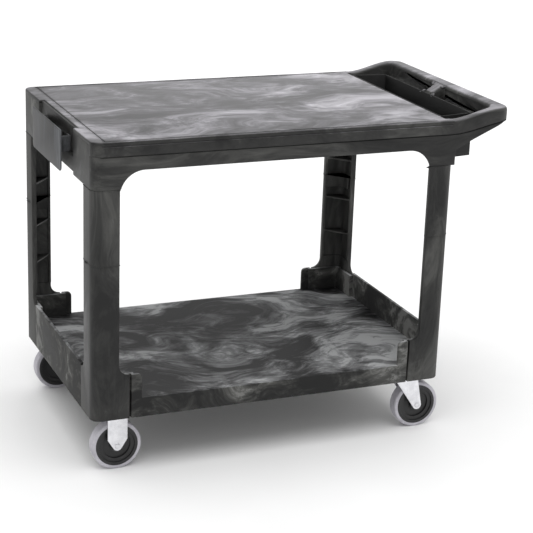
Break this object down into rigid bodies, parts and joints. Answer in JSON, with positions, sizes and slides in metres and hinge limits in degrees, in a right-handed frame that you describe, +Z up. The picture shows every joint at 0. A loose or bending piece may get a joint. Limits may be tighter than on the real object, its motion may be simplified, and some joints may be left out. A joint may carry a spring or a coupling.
{
  "type": "rolling utility cart",
  "caption": "Two-shelf moulded utility cart with a flat deck, a grip bar with a deep bin, open channel legs, a walled lower shelf and rigid and swivel casters.",
  "frame": {"origin": "floor under the middle of the cart's overall box", "axes": "+X along the cart towards the handle, +Y away from the near long side, +Z up"},
  "size_m": [1.144, 0.643, 0.874],
  "materials": {
    "deck_foam": "moulded structural foam, streaked charcoal, satin",
    "black_foam": "moulded structural foam, near-black with grey streaks",
    "tyre": "grey thermoplastic rubber tread",
    "wheel_core": "black moulded polypropylene",
    "zinc_steel": "bright zinc-plated pressed steel",
    "screw_steel": "zinc-plated screws"
  },
  "bodies": {
    "cart": {"top_deck": "deck_foam", "top_frame": "black_foam", "handle_bin": "black_foam", "end_plate": "black_foam", "upper_post_near_left": "black_foam", "upper_post_near_right": "black_foam", "upper_post_far_left": "black_foam", "upper_post_far_right": "black_foam", "lower_post_near_left": "black_foam", "lower_post_near_right": "black_foam", "lower_post_far_left": "black_foam", "lower_post_far_right": "black_foam", "lower_shelf": "black_foam", "deck_screws": "screw_steel", "end_plate_screws": "screw_steel", "bin_screws": "screw_steel", "caster_screws": "screw_steel", "rigid_near_fork": "zinc_steel", "rigid_near_sleeve": "zinc_steel", "rigid_near_axle": "zinc_steel", "rigid_near_nut": "zinc_steel", "rigid_far_fork": "zinc_steel", "rigid_far_sleeve": "zinc_steel", "rigid_far_axle": "zinc_steel", "rigid_far_nut": "zinc_steel", "swivel_near_plate": "zinc_steel", "swivel_near_race": "zinc_steel", "swivel_near_kingpin": "zinc_steel", "swivel_far_plate": "zinc_steel", "swivel_far_race": "zinc_steel", "swivel_far_kingpin": "zinc_steel"},
    "rigid_near_wheel": {"rigid_near_tyre": "tyre", "rigid_near_core": "wheel_core"},
    "swivel_near_wheel": {"swivel_near_tyre": "tyre", "swivel_near_core": "wheel_core"},
    "swivel_near": {"swivel_near_fork": "zinc_steel", "swivel_near_sleeve": "zinc_steel", "swivel_near_axle": "zinc_steel", "swivel_near_nut": "zinc_steel"},
    "rigid_far_wheel": {"rigid_far_tyre": "tyre", "rigid_far_core": "wheel_core"},
    "swivel_far_wheel": {"swivel_far_tyre": "tyre", "swivel_far_core": "wheel_core"},
    "swivel_far": {"swivel_far_fork": "zinc_steel", "swivel_far_sleeve": "zinc_steel", "swivel_far_axle": "zinc_steel", "swivel_far_nut": "zinc_steel"}
  },
  "joints": [
    {"name": "rigid_near_spin", "type": "hinge", "parent": "cart", "child": "rigid_near_wheel", "pos_m": [-0.475, -0.2725, 0.0635], "axis": [0, 1, 0], "continuous": true},
    {"name": "swivel_near_turn", "type": "hinge", "parent": "cart", "child": "swivel_near", "pos_m": [0.329, -0.2725, 0.14], "axis": [0, 0, 1], "continuous": true},
    {"name": "swivel_near_spin", "type": "hinge", "parent": "swivel_near", "child": "swivel_near_wheel", "pos_m": [0.363, -0.2725, 0.0635], "axis": [0, 1, 0], "continuous": true},
    {"name": "rigid_far_spin", "type": "hinge", "parent": "cart", "child": "rigid_far_wheel", "pos_m": [-0.475, 0.2725, 0.0635], "axis": [0, 1, 0], "continuous": true},
    {"name": "swivel_far_turn", "type": "hinge", "parent": "cart", "child": "swivel_far", "pos_m": [0.329, 0.2725, 0.14], "axis": [0, 0, 1], "continuous": true},
    {"name": "swivel_far_spin", "type": "hinge", "parent": "swivel_far", "child": "swivel_far_wheel", "pos_m": [0.363, 0.2725, 0.0635], "axis": [0, 1, 0], "continuous": true}
  ]
}
